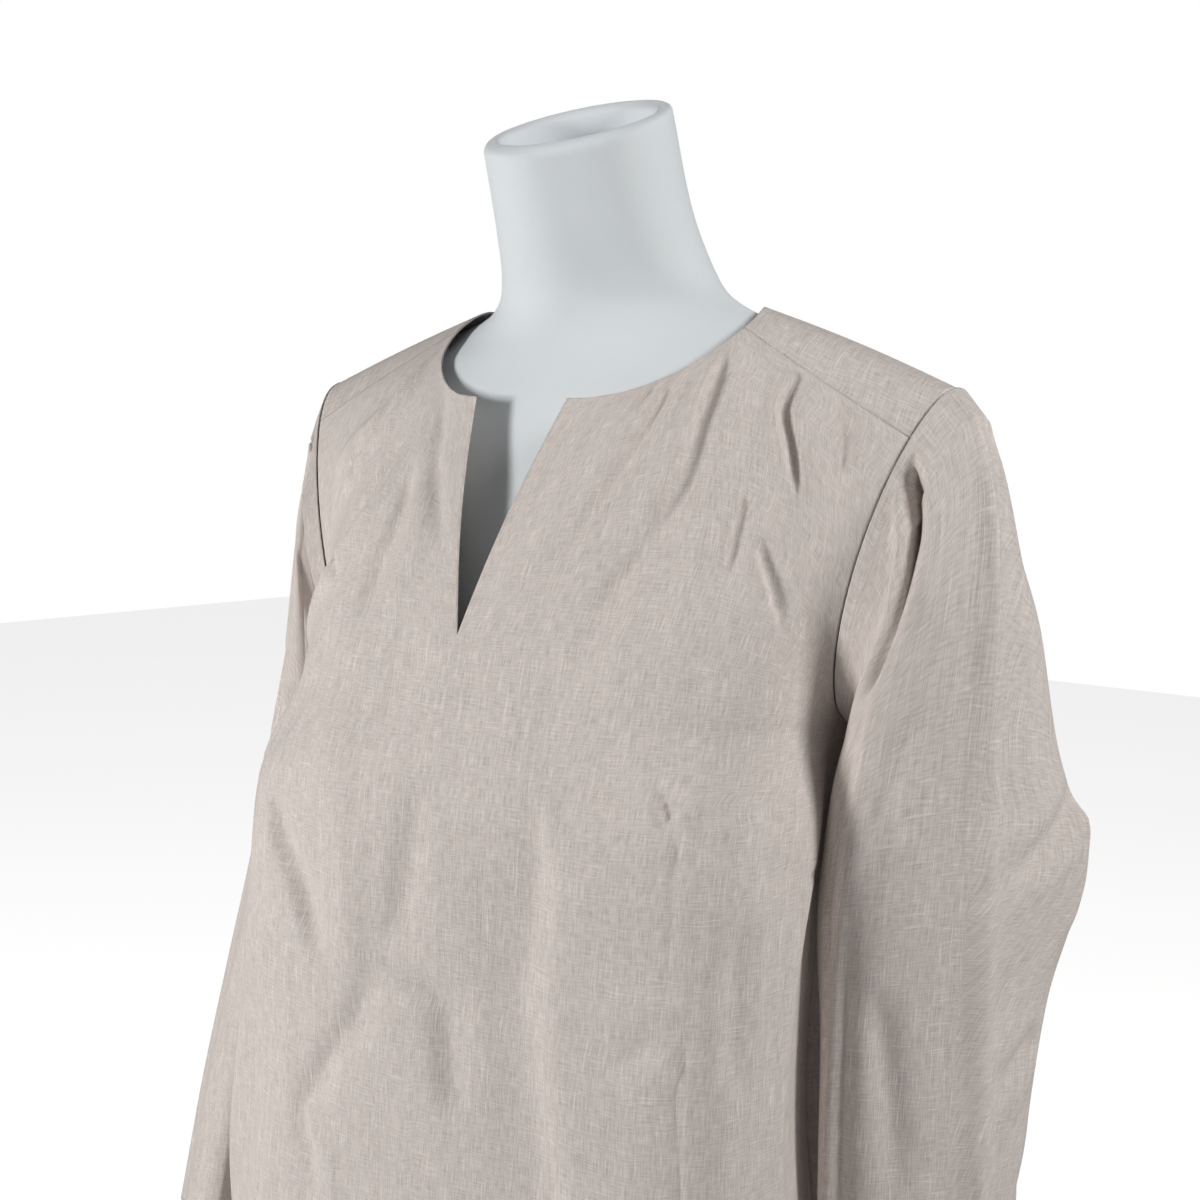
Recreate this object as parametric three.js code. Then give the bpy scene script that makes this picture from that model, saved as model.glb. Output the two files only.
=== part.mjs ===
// A woman's long-sleeved linen blouse standing on a limbless dress form.
// x runs to the wearer's left, y to the back and z up, in millimetres.
// The origin is the middle of the form's flat underside.
import * as THREE from 'three';

// ---------------------------------------------------------------- driving sizes

const shoulderHeight = 760; // high point of the shoulder above the table
const clothWall = 1.2; // linen with its turned edges
const seamGap = 0.3; // between two pieces at a seam
const edgeBevel = 0.4; // slope of a piece's cut edge, as a share of its wall
const armpitDown = 208; // underarm below the high point of the shoulder

// the neckline, an oval seen from above, cut by a slit at the front
const neckline = {
  half: 93, // side to side, from the middle
  middle: -8, // y of the oval's middle
  front: 80, // from its middle to the front
  back: 68, // from its middle to the back
  ridge: -15.4, // angle where it crosses the shoulder ridge, degrees from the side
  notch: 72, // angle where the slit cuts it
  seam: 7, // angle where the front yoke seam meets it
  frontDrop: 53, // fall from the shoulder ridge to the slit
  backDrop: 12, // fall from the shoulder ridge to the centre back
};
const slit = { tipY: -132, tipDown: 172, bow: 5 }; // its lower end, and its edge's bow forward

// the armhole, an oval loop from the shoulder tip to the underarm
const armhole = {
  tip: { x: 198, y: 9, down: 42 },
  under: { x: 158, y: -8, down: armpitDown },
  frontHalf: 45, // half its width before the line from tip to underarm
  backHalf: 54, // the same behind that line
  squareness: 0.85, // below 1 the loop is fuller than an oval
  frontHollow: 6, // how far the front edge comes in across the chest
  frontSeam: 46, // angle of the front yoke seam from the tip, degrees
  backSeam: 78, // angle of the back yoke seam from the tip
};
const yokeBack = { y: 106, down: 98 }; // back yoke seam at the centre back
const yokeFrontBow = 3; // how far each front yoke seam bows forward
const yokeSwell = 7; // how far the yoke stands proud of straight lines at the centre back

// the blouse below the armholes, one row for each level: half is the side seam's distance from
// the middle, side, front and back are y values, boxFront and boxBack say how square the
// section is, and flareFront and flareBack how far the cloth stands out beyond the side seam
const bodyLevels = [
  {
    down: 150, half: 162, side: -6, front: -122, back: 112,
    boxFront: 0.66, boxBack: 0.66, flareFront: 0, flareBack: 0,
  },
  {
    down: 208, half: 158, side: -8, front: -140, back: 114,
    boxFront: 0.72, boxBack: 0.66, flareFront: 0, flareBack: 0,
  },
  {
    down: 255, half: 156, side: -14, front: -152, back: 112,
    boxFront: 0.84, boxBack: 0.66, flareFront: 20, flareBack: 14,
  },
  {
    down: 320, half: 151, side: -20, front: -156, back: 108,
    boxFront: 0.88, boxBack: 0.68, flareFront: 32, flareBack: 26,
  },
  {
    down: 400, half: 149, side: -20, front: -158, back: 106,
    boxFront: 0.9, boxBack: 0.7, flareFront: 42, flareBack: 34,
  },
  {
    down: 480, half: 155, side: -14, front: -161, back: 112,
    boxFront: 0.9, boxBack: 0.72, flareFront: 46, flareBack: 36,
  },
  {
    down: 570, half: 164, side: -8, front: -161, back: 120,
    boxFront: 0.84, boxBack: 0.72, flareFront: 38, flareBack: 32,
  },
  {
    down: 665, half: 176, side: -4, front: -166, back: 126,
    boxFront: 0.82, boxBack: 0.72, flareFront: 36, flareBack: 28,
  },
];

// the left sleeve after the armhole, one row for each ring: four points of the ring seen from
// above, being the pressed ridge, the front, the inner side and the back, and how far the ridge
// and the inner side are below the shoulder point; rightOut moves the same ring of the right
// sleeve away from the body
const sleeveRings = [
  {
    ridgeX: 213, ridgeY: 2, frontX: 190, frontY: -47, innerX: 164, innerY: -4, backX: 194, backY: 52,
    ridgeDown: 56, innerDown: 216, rightOut: -16,
  },
  {
    ridgeX: 222, ridgeY: -2, frontX: 193, frontY: -50, innerX: 168, innerY: 2, backX: 208, backY: 56,
    ridgeDown: 85, innerDown: 226, rightOut: -22,
  },
  {
    ridgeX: 228, ridgeY: -8, frontX: 186, frontY: -53, innerX: 171, innerY: 8, backX: 226, backY: 62,
    ridgeDown: 135, innerDown: 240, rightOut: -20,
  },
  {
    ridgeX: 228, ridgeY: -13, frontX: 178, frontY: -53, innerX: 175, innerY: 10, backX: 240, backY: 68,
    ridgeDown: 200, innerDown: 262, rightOut: -10,
  },
  {
    ridgeX: 227, ridgeY: -16, frontX: 172, frontY: -50, innerX: 184, innerY: 16, backX: 258, backY: 78,
    ridgeDown: 275, innerDown: 300, rightOut: 6,
  },
  {
    ridgeX: 226, ridgeY: -18, frontX: 172, frontY: -50, innerX: 190, innerY: 12, backX: 248, backY: 56,
    ridgeDown: 350, innerDown: 362, rightOut: 20,
  },
  {
    ridgeX: 227, ridgeY: -22, frontX: 174, frontY: -52, innerX: 194, innerY: 6, backX: 244, backY: 42,
    ridgeDown: 430, innerDown: 432, rightOut: 36,
  },
  {
    ridgeX: 230, ridgeY: -26, frontX: 178, frontY: -54, innerX: 198, innerY: 0, backX: 242, backY: 30,
    ridgeDown: 510, innerDown: 510, rightOut: 50,
  },
  {
    ridgeX: 234, ridgeY: -32, frontX: 184, frontY: -56, innerX: 204, innerY: -8, backX: 242, backY: 18,
    ridgeDown: 600, innerDown: 600, rightOut: 60,
  },
];

// the form, one row for each ring from the table up: half width, y of its widest point, front
// and back, how its section runs (1 is an oval, less is fuller, more is leaner towards the
// shoulders) and how far its plane tips down to the front, in degrees
const torsoRings = [
  { down: 760, half: 142, side: 0, front: -92, back: 92, lean: 1, tip: 0 },
  { down: 660, half: 156, side: 0, front: -104, back: 106, lean: 0.92, tip: 0 },
  { down: 560, half: 158, side: 0, front: -108, back: 106, lean: 0.9, tip: 0 },
  { down: 470, half: 142, side: -4, front: -102, back: 90, lean: 0.9, tip: 0 },
  { down: 395, half: 122, side: -6, front: -90, back: 76, lean: 0.9, tip: 0 },
  { down: 320, half: 132, side: -8, front: -104, back: 84, lean: 0.86, tip: 0 },
  { down: 255, half: 145, side: -8, front: -126, back: 94, lean: 0.78, tip: 0 },
  { down: 208, half: 148, side: -6, front: -122, back: 98, lean: 0.8, tip: 0 },
  { down: 150, half: 156, side: 0, front: -106, back: 98, lean: 0.86, tip: 0 },
  { down: 100, half: 172, side: 4, front: -86, back: 90, lean: 1.1, tip: 0 },
  { down: 68, half: 184, side: 8, front: -74, back: 80, lean: 1.5, tip: 0 },
  { down: 50, half: 182, side: 8, front: -66, back: 72, lean: 1.9, tip: 0 },
  { down: 34, half: 164, side: 9, front: -60, back: 66, lean: 2.5, tip: 0 },
  { down: 18, half: 128, side: 10, front: -56, back: 59, lean: 2.9, tip: 1 },
  { down: 3, half: 86, side: 6, front: -56, back: 53, lean: 2, tip: 3 },
  { down: -16, half: 62, side: -3, front: -59, back: 48, lean: 1.1, tip: 10 },
];
const neckRings = [
  torsoRings.at(-1),
  { down: -44, half: 53, side: -20, front: -71, back: 32, lean: 1, tip: 17 },
  { down: -88, half: 49.5, side: -39, front: -88, back: 11, lean: 1, tip: 24 },
];
const neckWall = 9;
const neckHollow = 56; // depth of the hollow in the neck, along its axis
// the rounded rim, from the outside in: inset as a share of the neck's wall, and fall from the top
const rimRoll = [
  { inset: 0.3, fall: -3 },
  { inset: 0.75, fall: -2 },
  { inset: 1, fall: 3 },
];
const hollowTaper = 3; // how much narrower the hollow is at its floor, all round

// ---------------------------------------------------------------- curves and tables

const rad = THREE.MathUtils.degToRad;
const lerp = THREE.MathUtils.lerp;
const place = (x, y, below) => new THREE.Vector3(x, y, shoulderHeight - below);
const mirrored = (p) => new THREE.Vector3(-p.x, p.y, p.z);

// a cubic through the rows of a table, column by column, at the value of one column
function readTable(rows, column, at) {
  const last = rows.length - 2;
  let k = 0;
  while (k < last && Math.sign(rows[1][column] - rows[0][column]) * (at - rows[k + 1][column]) > 0) {
    k += 1;
  }
  const before = rows[Math.max(k - 1, 0)];
  const [a, b] = [rows[k], rows[k + 1]];
  const after = rows[Math.min(k + 2, rows.length - 1)];
  const span = b[column] - a[column];
  const t = (at - a[column]) / span;
  const result = {};
  for (const name of Object.keys(a)) {
    const startSlope = ((b[name] - before[name]) / (b[column] - before[column])) * span;
    const endSlope = ((after[name] - a[name]) / (after[column] - a[column])) * span;
    result[name] = hermite(a[name], startSlope, b[name], endSlope, t);
  }
  return result;
}

function hermite(start, startSlope, end, endSlope, t) {
  const t2 = t * t;
  const t3 = t2 * t;
  return (
    start * (2 * t3 - 3 * t2 + 1) +
    startSlope * (t3 - 2 * t2 + t) +
    end * (3 * t2 - 2 * t3) +
    endSlope * (t3 - t2)
  );
}

function hermitePoint(start, startSlope, end, endSlope, t) {
  return new THREE.Vector3(
    hermite(start.x, startSlope.x, end.x, endSlope.x, t),
    hermite(start.y, startSlope.y, end.y, endSlope.y, t),
    hermite(start.z, startSlope.z, end.z, endSlope.z, t),
  );
}

// ---------------------------------------------------------------- seam lines of the blouse

// the neckline at an angle in degrees: 90 is the centre front, -90 the centre back
function necklineAt(angle) {
  const a = rad(angle);
  const reach = a > 0 ? neckline.front : neckline.back;
  const toFront = (angle - neckline.ridge) / (neckline.notch - neckline.ridge);
  const toBack = (neckline.ridge - angle) / (neckline.ridge + 90);
  const fall =
    toFront > 0
      ? neckline.frontDrop * Math.sin((Math.PI / 2) * toFront) ** 1.5
      : neckline.backDrop * Math.sin((Math.PI / 2) * toBack) ** 2;
  return place(neckline.half * Math.cos(a), neckline.middle - reach * Math.sin(a), fall);
}

// the armhole at an angle in degrees from the shoulder tip, front = 1 or -1 for the back
function armholeAt(angle, front) {
  const a = rad(angle);
  const along = (1 - Math.cos(a)) / 2;
  const swell = Math.abs(Math.sin(a)) ** armhole.squareness;
  const across = (front > 0 ? armhole.frontHalf : armhole.backHalf) * swell;
  const hollow = front > 0 ? armhole.frontHollow * Math.sin(a) ** 2 : 0;
  return place(
    lerp(armhole.tip.x, armhole.under.x, along) - hollow,
    lerp(armhole.tip.y, armhole.under.y, along) - front * across,
    lerp(armhole.tip.down, armhole.under.down, along),
  );
}

// half of a level section, from the centre line at u = 0 to the side seam at u = 1
function halfSection(below, u, front) {
  const row = readTable(bodyLevels, 'down', below);
  const centreY = front > 0 ? row.front : row.back;
  const box = front > 0 ? row.boxFront : row.boxBack;
  const flare = front > 0 ? row.flareFront : row.flareBack;
  const curve = new THREE.CubicBezierCurve(
    new THREE.Vector2(0, centreY),
    new THREE.Vector2(row.half * box, centreY),
    new THREE.Vector2(row.half + flare, lerp(row.side, centreY, box)),
    new THREE.Vector2(row.half, row.side),
  );
  const p = curve.getPoint(u);
  return place(p.x, p.y, below);
}

// ---------------------------------------------------------------- front and back panels

const panelColumns = 12; // on each half
const upperRows = 10; // above the underarm
const lowerRows = 10; // below it
const tipRow = 2; // row of the upper part at the slit's lower end
const seamColumn = 6; // column where the neckline meets the yoke seam
const hemDown = 665;

// a smooth line near the front's top edge, without the corner where the yoke seam begins
function frontTopSmooth(u) {
  const start = necklineAt(neckline.notch);
  const end = armholeAt(armhole.frontSeam, 1);
  const curve = new THREE.CubicBezierCurve3(start, place(75, -25, 8), place(125, -10, 10), end);
  return curve.getPoint(u);
}

function frontTop(u) {
  const turn = seamColumn / panelColumns;
  if (u < turn) {
    return necklineAt(lerp(neckline.notch, neckline.seam, u / turn));
  }
  const t = (u - turn) / (1 - turn);
  const line = new THREE.LineCurve3(
    necklineAt(neckline.seam),
    armholeAt(armhole.frontSeam, 1),
  );
  const p = line.getPoint(t);
  p.y -= yokeFrontBow * Math.sin(Math.PI * t);
  return p;
}

function backTop(u) {
  const end = armholeAt(armhole.backSeam, -1);
  const centre = place(0, yokeBack.y, yokeBack.down);
  const curve = new THREE.CubicBezierCurve3(
    centre,
    new THREE.Vector3(end.x * 0.55, centre.y, centre.z),
    new THREE.Vector3(end.x * 0.85, lerp(end.y, centre.y, 0.6), lerp(end.z, centre.z, 0.3)),
    end,
  );
  return curve.getPoint(u);
}

const rise = 150; // length of the upper part, for the slopes at its two ends
const topSlope = { y: 0.95, z: 0.5 }; // how the cloth leans where it reaches the top seam
const edgeReach = 2.5; // how fast a side's true edge fades into the panel; more is faster
const topReach = 5; // the same for the corner of the top edge

// the upper part: u from the centre to the side, v from the underarm level to the top seam
function upperPanel(u, v, front) {
  const seamAngle = front > 0 ? armhole.frontSeam : armhole.backSeam;
  const column = (uu) => {
    const low = halfSection(armpitDown, uu, front);
    const lean = halfSection(armpitDown - 10, uu, front).sub(low).multiplyScalar(rise / 10);
    const high = front > 0 ? frontTopSmooth(uu) : backTop(uu);
    const arrive = new THREE.Vector3(0, front * topSlope.y * rise, topSlope.z * rise);
    return hermitePoint(low, lean, high, arrive, v);
  };
  const p = column(u);
  const edge = armholeAt(lerp(180, seamAngle, v), front);
  p.addScaledVector(edge.sub(column(1)), u ** edgeReach);
  if (front > 0) {
    p.addScaledVector(centreFront(v).sub(column(0)), (1 - u) ** edgeReach);
    p.addScaledVector(frontTop(u).sub(frontTopSmooth(u)), v ** topReach);
  }
  return p;
}

// the centre front line up to the slit, then the slit's edge up to the neckline
function centreFront(v) {
  const low = halfSection(armpitDown, 0, 1);
  const tip = place(0, slit.tipY, slit.tipDown);
  const tipV = tipRow / upperRows;
  if (v <= tipV) {
    return low.lerp(tip, v / tipV);
  }
  const t = (v - tipV) / (1 - tipV);
  const p = tip.lerp(necklineAt(neckline.notch), t);
  p.y -= slit.bow * Math.sin(Math.PI * t);
  return p;
}

function panelPoint(u, row, front) {
  if (row > lowerRows) {
    return upperPanel(u, (row - lowerRows) / upperRows, front);
  }
  return halfSection(lerp(hemDown, armpitDown, row / lowerRows), u, front);
}

// ---------------------------------------------------------------- making shells

// an open sheet of points joined by triangles, with the points that are shared kept shared
class Sheet {
  constructor() {
    this.points = [];
    this.faces = [];
    this.names = new Map();
  }

  point(name, makePoint) {
    if (!this.names.has(name)) {
      this.names.set(name, this.points.length);
      this.points.push(makePoint());
    }
    return this.names.get(name);
  }

  quad(a, b, c, d) {
    this.faces.push([a, b, c], [a, c, d]);
  }

  normals() {
    const sums = this.points.map(() => new THREE.Vector3());
    for (const [a, b, c] of this.faces) {
      const [p, q, r] = [this.points[a], this.points[b], this.points[c]];
      const n = q.clone().sub(p).cross(r.clone().sub(p));
      sums[a].add(n);
      sums[b].add(n);
      sums[c].add(n);
    }
    return sums.map((n) => n.normalize());
  }

  // for each point, the way into the sheet across its faces
  inwards(normals) {
    const sums = this.points.map(() => new THREE.Vector3());
    for (const face of this.faces) {
      const middle = new THREE.Vector3();
      face.forEach((i) => middle.addScaledVector(this.points[i], 1 / 3));
      face.forEach((i) => sums[i].add(middle).sub(this.points[i]));
    }
    return sums.map((way, i) => way.projectOnPlane(normals[i]).normalize());
  }

  // the sheet as the outer face of a wall, closed round its free edges, where the inner face
  // stops a little short so that two walls which meet at an angle stay apart
  shell(wall) {
    const normals = this.normals();
    const inwards = this.inwards(normals);
    const shift = this.points.length;
    const faces = [];
    const open = new Map();
    for (const [a, b, c] of this.faces) {
      faces.push([a, b, c], [c + shift, b + shift, a + shift]);
      for (const [from, to] of [[a, b], [b, c], [c, a]]) {
        if (!open.delete(`${to} ${from}`)) {
          open.set(`${from} ${to}`, [from, to]);
        }
      }
    }
    const edge = new Set([...open.values()].flat());
    const inner = this.points.map((p, i) => {
      const q = p.clone().addScaledVector(normals[i], -wall);
      return edge.has(i) ? q.addScaledVector(inwards[i], wall * edgeBevel) : q;
    });
    for (const [from, to] of open.values()) {
      faces.push([to, from, from + shift], [to, from + shift, to + shift]);
    }
    return solidGeometry([...this.points, ...inner], faces);
  }
}

function solidGeometry(points, faces) {
  const geometry = new THREE.BufferGeometry();
  const values = points.flatMap((p) => [p.x, p.y, p.z]);
  geometry.setAttribute('position', new THREE.Float32BufferAttribute(values, 3));
  geometry.setIndex(faces.flat());
  geometry.computeVertexNormals();
  return geometry;
}

// a point of a sheet moved towards its neighbour, to leave half the gap at a seam
function drawnIn(point, neighbour, distance = seamGap / 2) {
  const step = neighbour.clone().sub(point);
  return point.add(step.setLength(distance));
}

function panelSheet(front) {
  const sheet = new Sheet();
  const rows = lowerRows + upperRows;
  const slitRow = lowerRows + tipRow;
  const at = (column, row) => panelPoint(column / panelColumns, row, front);
  const makePoint = (column, row, half) => {
    const p = at(column, row);
    if (column === panelColumns) {
      drawnIn(p, at(column - 1, row));
    }
    if (row === rows) {
      drawnIn(p, at(column, row - 1));
    }
    return half > 0 ? p : mirrored(p);
  };
  const corner = (column, row, half) => {
    const shared = column === 0 && (front < 0 || row <= slitRow);
    const name = `${column} ${row} ${shared ? 0 : half}`;
    return sheet.point(name, () => makePoint(column, row, half));
  };
  for (const half of [1, -1]) {
    for (let row = 0; row < rows; row += 1) {
      for (let column = 0; column < panelColumns; column += 1) {
        const a = corner(column, row, half);
        const b = corner(column + 1, row, half);
        const c = corner(column + 1, row + 1, half);
        const d = corner(column, row + 1, half);
        if (half * front > 0) {
          sheet.quad(a, b, c, d);
        } else {
          sheet.quad(d, c, b, a);
        }
      }
    }
  }
  return sheet;
}

// ---------------------------------------------------------------- yoke

const yokeRays = 14; // along the neckline, on each half
const yokeSteps = 5; // from the neckline outwards
const yokeCorner = 7; // ray that ends where the armhole meets the back seam

// the outer edge: along the armhole, then along the back seam to the centre back
function yokeOuter(ray) {
  if (ray <= yokeCorner) {
    const angle = lerp(-armhole.frontSeam, armhole.backSeam, ray / yokeCorner);
    return armholeAt(Math.abs(angle), angle < 0 ? 1 : -1);
  }
  return backTop(1 - (ray - yokeCorner) / (yokeRays - yokeCorner));
}

function yokePoint(ray, step) {
  const s = step / yokeSteps;
  const t = ray / yokeRays;
  const inner = necklineAt(lerp(neckline.seam, -90, t));
  const outer = yokeOuter(ray);
  if (ray === 0) {
    return frontTop(lerp(seamColumn / panelColumns, 1, s));
  }
  const p = inner.lerp(outer, s);
  const lift = yokeSwell * Math.sin(Math.PI * s) * Math.sin((Math.PI / 2) * t);
  p.y += lift * Math.sin((Math.PI / 2) * t);
  p.z += lift * 0.8;
  return p;
}

function yokeSheet() {
  const sheet = new Sheet();
  const makePoint = (ray, step, half) => {
    const p = yokePoint(ray, step);
    if (step === yokeSteps) {
      drawnIn(p, yokePoint(ray, step - 1));
    }
    if (ray === 0) {
      drawnIn(p, yokePoint(1, step));
    }
    return half > 0 ? p : mirrored(p);
  };
  const corner = (ray, step, half) => {
    const name = `${ray} ${step} ${ray === yokeRays ? 0 : half}`;
    return sheet.point(name, () => makePoint(ray, step, half));
  };
  for (const half of [1, -1]) {
    for (let ray = 0; ray < yokeRays; ray += 1) {
      for (let step = 0; step < yokeSteps; step += 1) {
        const a = corner(ray, step, half);
        const b = corner(ray, step + 1, half);
        const c = corner(ray + 1, step + 1, half);
        const d = corner(ray + 1, step, half);
        if (half > 0) {
          sheet.quad(a, b, c, d);
        } else {
          sheet.quad(d, c, b, a);
        }
      }
    }
  }
  return sheet;
}

// ---------------------------------------------------------------- sleeves

const sleeveSides = 20; // round the sleeve
const sleeveSteps = 2; // between two rows of its table
const sleeveLift = 0.7; // more gap under the arm, where the sleeve folds down past the side

// a ring at an angle from its ridge, turning by the front to the inner side and the back
function sleeveRing(row, angle) {
  const a = rad(angle);
  const [c, s] = [Math.cos(a), Math.sin(a)];
  const midX = (row.frontX + row.backX) / 2;
  const midY = (row.frontY + row.backY) / 2;
  const [nearX, nearY] = c > 0 ? [row.ridgeX, row.ridgeY] : [row.innerX, row.innerY];
  const [sideX, sideY] = s > 0 ? [row.frontX, row.frontY] : [row.backX, row.backY];
  return place(
    midX + (nearX - midX) * Math.abs(c) + (sideX - midX) * Math.abs(s),
    midY + (nearY - midY) * Math.abs(c) + (sideY - midY) * Math.abs(s),
    lerp(row.ridgeDown, row.innerDown, (1 - c) / 2),
  );
}

function sleevePoint(position, angle, half) {
  const turn = angle > 180 ? 360 - angle : angle;
  const start = armholeAt(turn, angle > 180 ? -1 : 1);
  start.x += seamGap + (sleeveLift * (1 - Math.cos(rad(angle)))) / 2;
  let p = start;
  if (position > 0) {
    const rows = sleeveRings.map((row, index) => ({ ...row, index: index + 1 }));
    const row = readTable(rows, 'index', Math.max(position, 1));
    p = sleeveRing(row, angle);
    const share = row.rightOut < 0 ? (1 + Math.cos(rad(angle))) / 2 : 1;
    p.x += half < 0 ? row.rightOut * share : 0;
    p = position < 1 ? start.lerp(p, position) : p;
  }
  p.x *= half;
  return p;
}

function sleeveSheet(half) {
  const sheet = new Sheet();
  const rings = sleeveSteps * sleeveRings.length;
  const corner = (ring, side) => {
    const turned = side % sleeveSides;
    const makePoint = () => sleevePoint(ring / sleeveSteps, (turned / sleeveSides) * 360, half);
    return sheet.point(`${ring} ${turned}`, makePoint);
  };
  for (let ring = 0; ring < rings; ring += 1) {
    for (let side = 0; side < sleeveSides; side += 1) {
      const a = corner(ring, side);
      const b = corner(ring, side + 1);
      const c = corner(ring + 1, side + 1);
      const d = corner(ring + 1, side);
      if (half > 0) {
        sheet.quad(d, c, b, a);
      } else {
        sheet.quad(a, b, c, d);
      }
    }
  }
  return sheet;
}

// ---------------------------------------------------------------- dress form

const formSides = 32;

// one ring of points; inset draws it in all round, and lower sinks it along z
function formRing(row, inset = 0, lower = 0) {
  const ring = [];
  for (let side = 0; side < formSides; side += 1) {
    const a = (side / formSides) * 2 * Math.PI;
    const reach = Math.sin(a) > 0 ? row.back - row.side - inset : row.side - row.front - inset;
    const along = Math.sign(Math.sin(a)) * reach * Math.abs(Math.sin(a)) ** row.lean;
    const p = place(Math.cos(a) * (row.half - inset), row.side + along, row.down + lower);
    p.z += along * Math.tan(rad(row.tip));
    ring.push(p);
  }
  return ring;
}

function ringsBetween(rows, steps) {
  const rings = [];
  for (let k = 0; k < rows.length - 1; k += 1) {
    for (let step = 0; step < steps; step += 1) {
      const below = lerp(rows[k].down, rows[k + 1].down, step / steps);
      rings.push(formRing(readTable(rows, 'down', below)));
    }
  }
  rings.push(formRing(rows.at(-1)));
  return rings;
}

// a closed body through its rings, capped flat at the first and the last
function loft(rings) {
  const points = rings.flat();
  const faces = [];
  const cap = (ring, first) => {
    const middle = new THREE.Vector3();
    ring.forEach((p) => middle.addScaledVector(p, 1 / formSides));
    const tip = points.push(middle) - 1;
    for (let side = 0; side < formSides; side += 1) {
      const pair = [first + side, first + ((side + 1) % formSides)];
      faces.push(first === 0 ? [tip, pair[1], pair[0]] : [tip, pair[0], pair[1]]);
    }
  };
  for (let ring = 0; ring < rings.length - 1; ring += 1) {
    for (let side = 0; side < formSides; side += 1) {
      const next = (side + 1) % formSides;
      const [a, b] = [ring * formSides + side, ring * formSides + next];
      faces.push([a, b, b + formSides], [a, b + formSides, a + formSides]);
    }
  }
  cap(rings[0], 0);
  cap(rings.at(-1), (rings.length - 1) * formSides);
  return solidGeometry(points, faces);
}

const torsoSolid = () => loft(ringsBetween(torsoRings, 2));

function neckSolid() {
  const rim = neckRings.at(-1);
  const raised = neckRings.map((row) => ({ ...row, down: row.down - seamGap }));
  const rings = ringsBetween(raised, 3);
  for (const { inset, fall } of rimRoll) {
    rings.push(formRing(rim, neckWall * inset, fall));
  }
  for (const depth of [0.5, 1]) {
    const level = readTable(neckRings, 'down', rim.down + neckHollow * depth);
    rings.push(formRing(level, neckWall + hollowTaper * depth ** 1.5));
  }
  return loft(rings);
}

// ---------------------------------------------------------------- the object

const linen = (name) => {
  const material = new THREE.MeshStandardMaterial({ color: 0xb5a398, roughness: 0.85, metalness: 0 });
  material.name = name;
  return material;
};

const blouse = new THREE.Group();

function addPiece(name, geometry, material) {
  const mesh = new THREE.Mesh(geometry, material);
  mesh.name = name;
  blouse.add(mesh);
}

const jersey = new THREE.MeshStandardMaterial({ color: 0xdfe6ec, roughness: 0.9, metalness: 0 });
addPiece('form_torso', torsoSolid(), jersey);
addPiece('form_neck', neckSolid(), jersey.clone());
addPiece('front', panelSheet(1).shell(clothWall), linen('front linen'));
addPiece('back', panelSheet(-1).shell(clothWall), linen('back linen'));
addPiece('yoke', yokeSheet().shell(clothWall), linen('yoke linen'));
addPiece('sleeve_left', sleeveSheet(1).shell(clothWall), linen('left sleeve linen'));
addPiece('sleeve_right', sleeveSheet(-1).shell(clothWall), linen('right sleeve linen'));

export default blouse;
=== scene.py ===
import math
import bpy
import numpy as np
from mathutils import Matrix, Vector


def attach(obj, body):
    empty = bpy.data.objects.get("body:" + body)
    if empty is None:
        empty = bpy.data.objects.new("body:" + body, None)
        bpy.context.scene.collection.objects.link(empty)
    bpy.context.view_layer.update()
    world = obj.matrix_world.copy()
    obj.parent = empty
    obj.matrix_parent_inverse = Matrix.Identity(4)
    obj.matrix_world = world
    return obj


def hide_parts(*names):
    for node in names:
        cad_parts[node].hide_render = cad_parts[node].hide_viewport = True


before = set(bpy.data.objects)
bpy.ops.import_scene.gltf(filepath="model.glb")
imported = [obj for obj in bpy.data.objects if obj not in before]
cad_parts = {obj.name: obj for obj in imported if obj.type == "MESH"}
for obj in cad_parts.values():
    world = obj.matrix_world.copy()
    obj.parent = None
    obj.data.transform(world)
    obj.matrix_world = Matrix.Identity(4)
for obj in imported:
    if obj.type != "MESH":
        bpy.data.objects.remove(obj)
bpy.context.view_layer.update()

# Studio: a pale floor and a white surround, two soft lights of nearly equal strength, one in
# front on the wearer's right and one on the left, and the camera at the wearer's left front.
MM = 0.001
SHOULDER = 760.0  # height of the high point of the shoulder, mm, as in the frame


def place_camera(azimuth, elevation, roll, at, lens):
    a, e, r = (math.radians(v) for v in (azimuth, elevation, roll))
    back = Vector((math.sin(a) * math.cos(e), -math.cos(a) * math.cos(e), math.sin(e)))
    level = Vector((math.cos(a), math.sin(a), 0))
    up = back.cross(level)
    right = level * math.cos(r) + up * math.sin(r)
    up = up * math.cos(r) - level * math.sin(r)
    data = bpy.data.cameras.new("camera")
    data.lens = lens
    data.clip_start = 0.05
    camera = bpy.data.objects.new("camera", data)
    bpy.context.scene.collection.objects.link(camera)
    turn = Matrix((right, up, back)).transposed().to_4x4()
    camera.matrix_world = Matrix.Translation(Vector(at) * MM) @ turn
    bpy.context.scene.camera = camera


def soft_light(name, at, aim, width, height, watts, tint):
    data = bpy.data.lights.new(name, "AREA")
    data.shape = "RECTANGLE"
    data.size = width
    data.size_y = height
    data.energy = watts
    data.color = tint
    lamp = bpy.data.objects.new(name, data)
    bpy.context.scene.collection.objects.link(lamp)
    lamp.location = at
    lamp.rotation_euler = (Vector(aim) - Vector(at)).to_track_quat("-Z", "Y").to_euler()


def around(azimuth, elevation, distance, target=(0, 0, 0.55)):
    """A place at an azimuth, where 0 is in front and 90 on the wearer's left."""
    a, e = math.radians(azimuth), math.radians(elevation)
    way = Vector((math.sin(a) * math.cos(e), -math.cos(a) * math.cos(e), math.sin(e)))
    return Vector(target) + way * distance


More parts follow.
